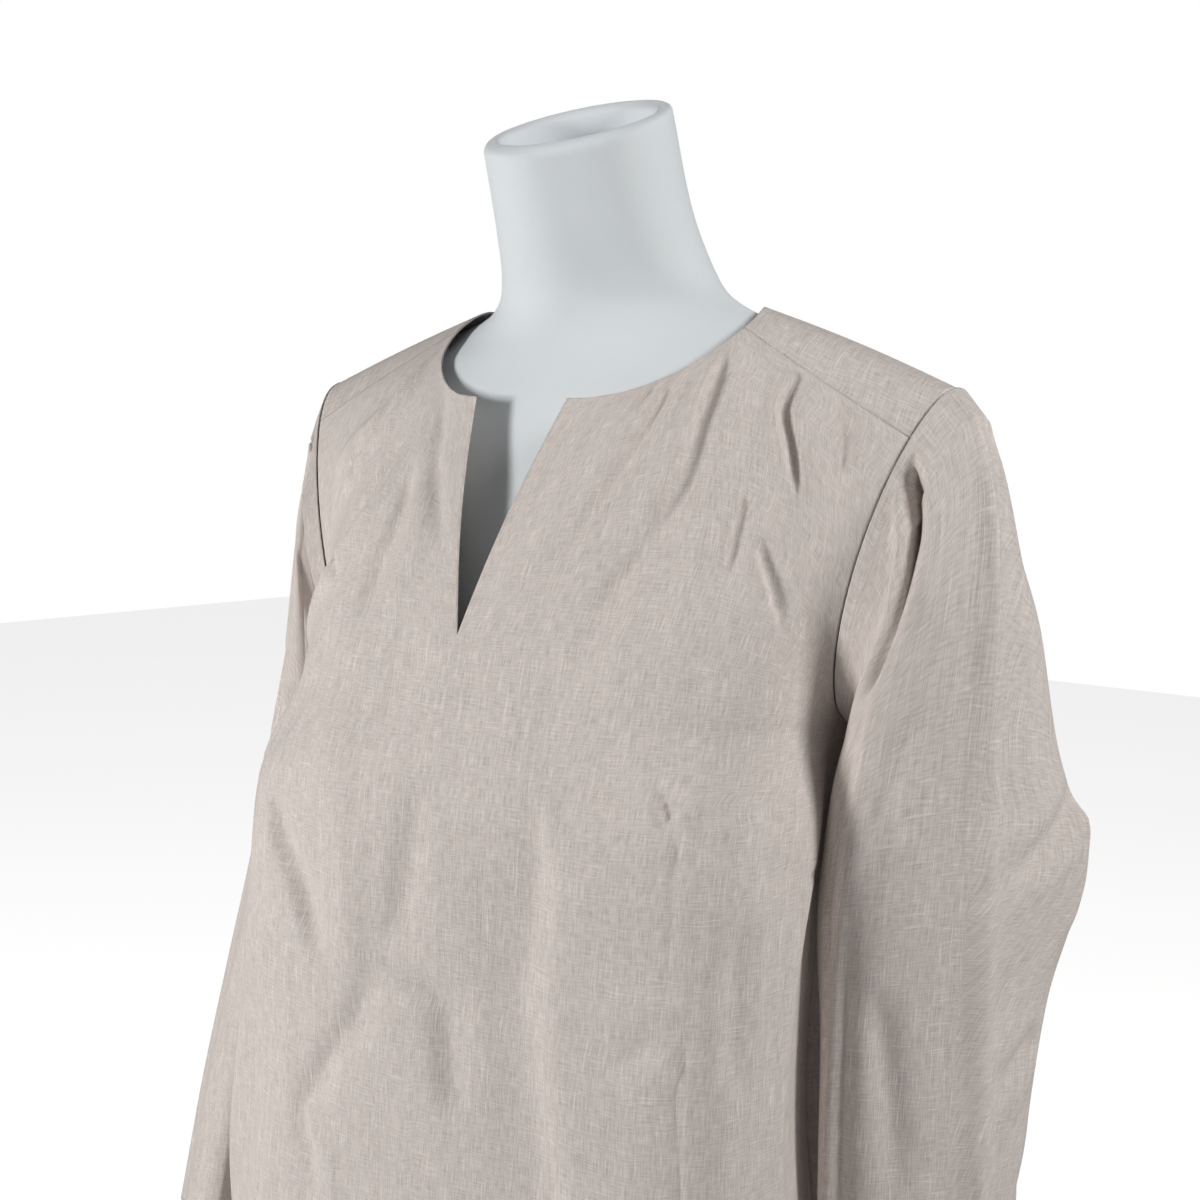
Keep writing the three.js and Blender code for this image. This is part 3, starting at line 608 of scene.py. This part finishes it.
# The folds of the front, by place: x across the half panel, scaled to 230 mm at the side, and
# down from the shoulder point. Gathers fan out from the neckline and the yoke seams, and
# long slack troughs hang below the bust. The wearer's right side is first.
FRONT_FOLDS = [
    dict(route=[(-113, 24), (-138, 60), (-175, 80), (-215, 102)], out=4.5, width=5, end=(9, 8)),
    dict(route=[(-130, 44), (-150, 78), (-190, 104)], out=-3.5, width=4, end=7),
    dict(route=[(-100, 36), (-122, 66), (-154, 92), (-196, 124)], out=4.5, width=5, end=9),
    dict(route=[(-84, 70), (-106, 104), (-124, 137), (-110, 152)],
         out=-4.2, width=(4, 3), end=(6, 3)),
    dict(route=[(-74, 82), (-85, 113), (-120, 148), (-160, 185), (-200, 230)],
         out=5.0, width=(5, 6), end=(12, 10)),
    dict(route=[(-60, 86), (-58, 121), (-62, 149), (-66, 185)],
         out=-4.0, width=(5, 6), end=(7, 11)),
    dict(route=[(-46, 48), (-38, 83), (-24, 108), (-12, 136)], out=-3.0, width=8),
    dict(route=[(-40, 92), (-35, 136), (-39, 178)], out=3.4, width=6, end=10),
    dict(route=[(-126, 138), (-114, 148), (-105, 156)], out=-2.4, width=(2.5, 3)),
    dict(route=[(-90, 170), (-100, 220), (-118, 262)], out=-3.0, width=8, end=12),
    dict(route=[(-10, 178), (-24, 205), (-28, 236)], out=-2.4, width=7, end=10),
    dict(route=[(10, 184), (8, 222), (0, 262)], out=-2.6, width=(6, 8), end=(9, 12)),
    dict(route=[(-66, 200), (-42, 238), (-31, 279), (-27, 320), (-24, 352)],
         out=5.0, width=(16, 5), end=(14, 6), fade=(0.3, 0.2)),
    dict(route=[(-6, 238), (-8, 289), (-12, 338)], out=-4.6, width=(5, 8)),
    dict(route=[(-92, 262), (-80, 285), (-60, 310), (-40, 352)],
         out=-6.5, width=(4, 13), end=(4, 9)),
    dict(route=[(30, 212), (38, 274), (35, 330), (40, 390), (46, 440), (48, 520), (46, 650)],
         out=-9.0, width=(24, 9), end=(48, 17), fade=(0.2, 0.04)),
    dict(route=[(-16, 338), (-4, 345), (6, 353), (8, 372), (10, 391), (16, 415)],
         out=-4.6, width=(3.5, 9)),
    dict(route=[(-16, 330), (-24, 365), (-39, 401), (-48, 428), (-40, 452), (-34, 482)],
         out=-4.4, width=(5, 8)),
    dict(route=[(-50, 420), (-34, 446), (-26, 480)], out=3.4, width=(8, 4)),
    dict(route=[(-100, 350), (-94, 430), (-108, 540), (-108, 655)],
         out=-6.0, width=(14, 18), end=26, fade=(0.3, 0.04)),
    dict(route=[(-14, 480), (-8, 560), (-16, 655)],
         out=6.0, width=(18, 14), end=(26, 22), fade=(0.4, 0.04)),
    dict(route=[(62, 222), (70, 238), (80, 256)], out=-2.4, width=(3, 6)),
    dict(route=[(98, 26), (93, 60), (86, 92), (68, 124)], out=3.6, width=(8, 4), end=(11, 6)),
    dict(route=[(107, 22), (102, 60), (99, 91), (85, 123), (66, 147), (46, 190)],
         out=-3.2, width=(4, 7), end=(8, 15), fade=(0.12, 0.4)),
    dict(route=[(70, 40), (66, 67), (55, 95), (41, 126), (30, 168)],
         out=-3.6, width=(3.5, 6), end=(8, 13), fade=(0.12, 0.5)),
    dict(route=[(57, 44), (48, 68)], out=-2.0, width=3, fade=(0.2, 0.6)),
    dict(route=[(86, 34), (80, 58), (74, 80)], out=-1.8, width=(3, 4)),
    dict(route=[(126, 28), (124, 54), (122, 84), (126, 100)], out=-1.8, width=5, end=6),
    dict(route=[(143, 92), (138, 116), (132, 140)], out=-3.6, width=(5, 7)),
    dict(route=[(78, 126), (64, 160), (52, 200)], out=-2.6, width=(6, 8), end=(8, 12)),
    dict(route=[(154, 34), (149, 53), (160, 76), (172, 100)], out=3.6, width=(7, 3)),
    dict(route=[(168, 40), (166, 56), (178, 78), (190, 100)], out=2.2, width=(4, 8)),
    dict(route=[(160, 29), (156, 53), (167, 74), (179, 98), (192, 124)],
         out=-3.0, width=(2.8, 6), end=(4, 6), fade=(0.12, 0.5)),
    dict(route=[(152, 118), (166, 138), (178, 160)], out=-4.0, width=(3.5, 8)),
    dict(route=[(189, 50), (200, 70), (207, 94)], out=-3.8, width=(4, 5)),
    dict(route=[(213, 64), (218, 86), (217, 112)], out=-2.2, width=4),
    dict(route=[(96, 232), (104, 246)], out=-4.0, width=(6, 4), fade=(0.5, 0.3)),
    dict(route=[(112, 232), (116, 244)], out=2.0, width=(6, 8), fade=(0.5, 0.3)),
    dict(route=[(88, 236), (96, 254), (102, 268)], out=1.8, width=4),
    dict(route=[(105, 250), (104, 294), (104, 318), (98, 345)],
         out=-1.2, width=1.8, fade=(0.1, 0.4)),
    dict(route=[(105, 320), (115, 352), (110, 372), (113, 420), (114, 540), (112, 640)],
         out=-1.1, width=1.8, fade=(0.1, 0.2)),
    dict(route=[(106, 249), (150, 265), (196, 279), (229, 286)],
         out=-1.2, width=2, fade=(0.1, 0.01)),
    dict(route=[(-106, 249), (-150, 265), (-196, 279), (-229, 286)],
         out=-1.2, width=2, fade=(0.1, 0.01)),
    dict(route=[(150, 290), (146, 335), (152, 384)], out=-3.0, width=10),
    dict(route=[(100, 340), (86, 356), (70, 362)], out=-2.0, width=6),
    dict(route=[(150, 420), (146, 520), (154, 655)],
         out=-6.0, width=(16, 14), end=(24, 20), fade=(0.4, 0.04)),
    dict(route=[(84, 300), (86, 420), (82, 560), (84, 655)],
         out=4.0, width=(14, 18), end=(22, 24), fade=(0.4, 0.04)),
    dict(route=[(206, 205), (200, 279), (188, 360), (180, 430), (182, 655)],
         out=4.0, width=(12, 6), end=(14, 9), fade=(0.2, 0.04)),
    dict(route=[(-206, 205), (-200, 279), (-190, 360), (-184, 655)],
         out=3.0, width=(6, 12), end=(9, 14), fade=(0.2, 0.04)),
]
front = panel_object("front_panel", 1, FRONT_FOLDS)
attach(front, "root")
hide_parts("front")

# The folds of the back, by the same places: soft gathers under the yoke seam and long slack
# folds down to the hem. The back is unseen, so they are like those of the front.
BACK_FOLDS = [
    dict(route=[(-30, 104), (-34, 170), (-46, 250), (-52, 330)], out=2.6, width=8, end=18),
    dict(route=[(24, 104), (30, 180), (44, 260), (46, 320)], out=2.8, width=8, end=18),
    dict(route=[(80, 100), (88, 150), (108, 220), (120, 300)], out=-3.0, width=7, end=16),
    dict(route=[(-90, 100), (-100, 160), (-118, 230)], out=-3.0, width=7, end=15),
    dict(route=[(0, 230), (-6, 330), (4, 460), (-4, 655)],
         out=-6.0, width=14, end=30, fade=(0.4, 0.05)),
    dict(route=[(70, 300), (84, 400), (92, 520), (100, 655)],
         out=5.0, width=12, end=26, fade=(0.4, 0.05)),
    dict(route=[(-76, 290), (-86, 400), (-96, 530), (-92, 655)],
         out=5.5, width=12, end=26, fade=(0.4, 0.05)),
    dict(route=[(150, 240), (144, 300), (156, 380), (150, 500), (156, 655)],
         out=-7.0, width=9, end=16, fade=(0.2, 0.05), lip=0.4),
    dict(route=[(190, 260), (196, 320), (188, 400), (198, 500), (194, 655)],
         out=5.0, width=8, end=12, fade=(0.2, 0.05)),
    dict(route=[(-152, 250), (-146, 330), (-158, 430), (-150, 655)],
         out=-6.0, width=10, end=18, fade=(0.2, 0.05), lip=0.4),
    dict(route=[(-60, 240), (-30, 268), (20, 274), (58, 250)], out=-2.6, width=10),
]
back = panel_object("back_panel", -1, BACK_FOLDS)
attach(back, "root")
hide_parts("back")


# Yoke: one piece of linen across the back of the neck and over both shoulders, to seams that
# lie in front of the shoulder ridge. It rests on the form's shoulders.
RAYS = 112
STEPS = 44
CORNER_RAY = 56  # ray that ends where the armhole meets the back seam


def yoke_point_rows():
    s = np.linspace(0, 1, STEPS + 1)
    rows = []
    for ray in range(RAYS + 1):
        t = ray / RAYS
        if ray == 0:
            rows.append(np.array([front_top(TURN + (1 - TURN) * x) for x in s]))
            continue
        if ray <= CORNER_RAY:
            low, high = ARMHOLE["front_seam"], ARMHOLE["back_seam"]
            angle = -low + (high + low) * ray / CORNER_RAY
            outer = armhole_at(abs(angle), 1 if angle < 0 else -1)
        else:
            place = 1 - (ray - CORNER_RAY) / (RAYS - CORNER_RAY)
            outer = back_top(np.array([place]))[0]
        inner = neckline_at(NECK["seam"] + (-90 - NECK["seam"]) * t)
        line = inner + (outer - inner) * s[:, None]
        lift = 7 * np.sin(math.pi * s) * math.sin(math.pi / 2 * t)
        line[:, 1] += lift * math.sin(math.pi / 2 * t)
        line[:, 2] += lift * 0.8
        rows.append(line)
    return np.array(rows)


half = yoke_point_rows()
half[:, -1] += unit(half[:, -2] - half[:, -1]) * SEAM_GAP / 2
half[0] += unit(half[1] - half[0]) * SEAM_GAP / 2
mirror = half[::-1] * np.array([-1, 1, 1])
whole = np.concatenate([half, mirror[1:]])
rows, columns = whole.shape[:2]
quads = []
for r in range(rows - 1):
    for c in range(columns - 1):
        at = r * columns + c
        quads.append((at, at + 1, at + columns + 1, at + columns))
flat = whole[..., [0, 1]].reshape(-1, 2) * MM
yoke = cloth_object("yoke_piece", whole.reshape(-1, 3), quads, flat[np.array(quads)])
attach(yoke, "root")
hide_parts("yoke")


# Sleeves: long and set in, each one panel joined into a tube under the arm, pressed with a
# ridge down the outer side, hanging empty beside the body with a plain hem.
SLEEVE_RINGS = [
    dict(ridge=(213, 2), front=(190, -47), inner=(164, -4), back=(194, 52),
         ridge_down=56, inner_down=216, right_out=-16),
    dict(ridge=(222, -2), front=(193, -50), inner=(168, 2), back=(208, 56),
         ridge_down=85, inner_down=226, right_out=-22),
    dict(ridge=(228, -8), front=(186, -53), inner=(171, 8), back=(226, 62),
         ridge_down=135, inner_down=240, right_out=-20),
    dict(ridge=(228, -13), front=(178, -53), inner=(175, 10), back=(240, 68),
         ridge_down=200, inner_down=262, right_out=-10),
    dict(ridge=(227, -16), front=(172, -50), inner=(184, 16), back=(258, 78),
         ridge_down=275, inner_down=300, right_out=6),
    dict(ridge=(226, -18), front=(172, -50), inner=(190, 12), back=(248, 56),
         ridge_down=350, inner_down=362, right_out=20),
    dict(ridge=(227, -22), front=(174, -52), inner=(194, 6), back=(244, 42),
         ridge_down=430, inner_down=432, right_out=36),
    dict(ridge=(230, -26), front=(178, -54), inner=(198, 0), back=(242, 30),
         ridge_down=510, inner_down=510, right_out=50),
    dict(ridge=(234, -32), front=(184, -56), inner=(204, -8), back=(242, 18),
         ridge_down=600, inner_down=600, right_out=60),
]
SLEEVE_SIDES = 160
SLEEVE_ROWS = 180
SLEEVE_LIFT = 0.7
SLEEVE_END_PLACE = 600  # place of the hem in the tables of folds
HELD_RINGS = 6  # rings at the armhole over which the folds die away
ring_table = []
for number, ring in enumerate(SLEEVE_RINGS):
    plain = {"index": number + 1}
    for key, value in ring.items():
        if isinstance(value, tuple):
            plain[key + "_x"], plain[key + "_y"] = value
        else:
            plain[key] = value
    ring_table.append(plain)


def sleeve_ring(row, angles):
    c, s = np.cos(angles), np.sin(angles)
    mid = [(row["front_" + k] + row["back_" + k]) / 2 for k in "xy"]
    out = []
    for k, m in zip("xy", mid):
        near = np.where(c > 0, row["ridge_" + k], row["inner_" + k]) - m
        side = np.where(s > 0, row["front_" + k], row["back_" + k]) - m
        out.append(m + near * np.abs(c) + side * np.abs(s))
    down = row["ridge_down"] + (row["inner_down"] - row["ridge_down"]) * (1 - c) / 2
    return np.stack([out[0], out[1], SHOULDER - down], axis=1)


def sleeve_grid(side):
    angles = np.arange(SLEEVE_SIDES + 1) / SLEEVE_SIDES * 2 * np.pi
    degrees = np.degrees(angles)
    turn = np.where(degrees > 180, 360 - degrees, degrees)
    start = np.array([armhole_at(t, -1 if d > 180 else 1) for t, d in zip(turn, degrees)])
    start[:, 0] += SEAM_GAP + SLEEVE_LIFT * (1 - np.cos(angles)) / 2
    rows = []
    for at in np.linspace(0, len(ring_table), SLEEVE_ROWS + 1):
        row = read_table(ring_table, "index", max(at, 1))
        ring = sleeve_ring(row, angles)
        if side < 0:
            share = (1 + np.cos(angles)) / 2 if row["right_out"] < 0 else 1
            ring[:, 0] += row["right_out"] * share
        if at < 1:
            ring = start + (ring - start) * at
        rows.append(ring)
    return np.array(rows) * np.array([side, 1, 1])


def sleeve_object(name, side, folds):
    grid = sleeve_grid(side)
    rows, columns = grid.shape[:2]
    degrees = np.linspace(0, 360, columns)
    normals = grid_normals(grid) * side
    places = np.stack([np.repeat(degrees[None], rows, axis=0),
                       np.repeat(np.linspace(0, SLEEVE_END_PLACE, rows)[:, None], columns, axis=1)],
                      axis=2)
    turn = np.array([360, 0])
    moved = folds_on(places, folds) + folds_on(places - turn, folds) + folds_on(places + turn, folds)
    moved[:HELD_RINGS] *= np.linspace(0, 1, HELD_RINGS)[:, None]
    grid = grid + normals * moved[..., None]
    grid[:, -1] = grid[:, 0]
    flat = cut_coordinates(grid)
    sides = columns - 1
    quads, corner_places = [], []
    for r in range(rows - 1):
        for c in range(sides):
            n = (c + 1) % sides
            quad = [r * sides + c, r * sides + n, (r + 1) * sides + n, (r + 1) * sides + c]
            spots = [(r, c), (r, c + 1), (r + 1, c + 1), (r + 1, c)]
            if side > 0:
                quad, spots = quad[::-1], spots[::-1]
            quads.append(quad)
            corner_places.extend(flat[a, b] for a, b in spots)
    return cloth_object(name, grid[:, :sides].reshape(-1, 3), quads, corner_places)


# Folds of the sleeves, by place: degrees round from the ridge towards the front, and how far
# down from the armhole of 600. Angles above 180 are behind.
LEFT_SLEEVE_FOLDS = [
    dict(route=[(12, 60), (9, 147), (0, 250), (-4, 300), (-7, 353), (-11, 393), (-18, 477), (-20, 600)],
         out=5.0, width=7, fade=(0.25, 0.02)),
    dict(route=[(54, 20), (63, 70), (74, 140), (84, 210)],
         out=-15.0, width=3.5, end=15, lip=0.25, fade=(0.12, 0.3)),
    dict(route=[(40, 250), (50, 340)], out=-2.5, width=9),
    dict(route=[(44, 380), (30, 440), (26, 480)], out=-3.5, width=9),
    dict(route=[(60, 330), (66, 430), (62, 600)], out=-5.0, width=10, end=12, fade=(0.3, 0.02)),
    dict(route=[(284, 290), (310, 315), (345, 345)], out=-4.5, width=7, lip=0.5),
    dict(route=[(284, 290), (292, 340), (300, 384)], out=3.5, width=7),
    dict(route=[(300, 410), (318, 424), (338, 436)], out=-4.0, width=7, lip=0.4),
    dict(route=[(270, 460), (300, 500), (320, 560)], out=-3.0, width=9, lip=0.3),
    dict(route=[(330, 60), (320, 140), (322, 220)], out=-2.5, width=14),
    dict(route=[(240, 70), (236, 180), (228, 270)], out=-8.0, width=12, end=16, lip=0.3),
    dict(route=[(205, 230), (230, 300), (262, 330)], out=-6.0, width=10, lip=0.3),
    dict(route=[(150, 60), (154, 200), (150, 320)], out=-6.0, width=12),
    dict(route=[(190, 360), (196, 470), (190, 600)], out=-5.0, width=14, fade=(0.3, 0.02)),
    dict(route=[(120, 300), (126, 420), (118, 600)], out=4.0, width=12, fade=(0.3, 0.02)),
]
RIGHT_SLEEVE_FOLDS = [
    dict(route=[(6, 50), (2, 150), (-4, 260), (-8, 340), (-6, 450), (-8, 600)],
         out=4.5, width=8, fade=(0.25, 0.02)),
    dict(route=[(50, 20), (60, 90), (68, 170)], out=-8.0, width=4, end=13, fade=(0.12, 0.3)),
    dict(route=[(34, 40), (40, 110), (36, 190)], out=-3.5, width=7, lip=0.3),
    dict(route=[(22, 120), (30, 230), (24, 330)], out=-3.0, width=7, lip=0.3),
    dict(route=[(50, 260), (38, 300), (30, 350)], out=-4.0, width=8, lip=0.4),
    dict(route=[(64, 330), (44, 370), (34, 420)], out=-4.0, width=8, lip=0.4),
    dict(route=[(40, 440), (46, 520), (42, 600)], out=-3.5, width=8, fade=(0.3, 0.02)),
    dict(route=[(286, 280), (314, 318), (344, 352)], out=-4.0, width=8, lip=0.5),
    dict(route=[(300, 420), (320, 440), (344, 450)], out=-3.5, width=8, lip=0.4),
    dict(route=[(244, 60), (240, 170), (226, 280)], out=-7.0, width=13, lip=0.3),
    dict(route=[(150, 60), (156, 210), (150, 330)], out=-5.0, width=12),
    dict(route=[(192, 350), (198, 460), (192, 600)], out=-4.5, width=14, fade=(0.3, 0.02)),
]
sleeves = (
    ("left_sleeve", 1, "sleeve_left", LEFT_SLEEVE_FOLDS),
    ("right_sleeve", -1, "sleeve_right", RIGHT_SLEEVE_FOLDS),
)
for name, side, node, folds in sleeves:
    sleeve = sleeve_object(name, side, folds)
    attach(sleeve, "root")
    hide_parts(node)
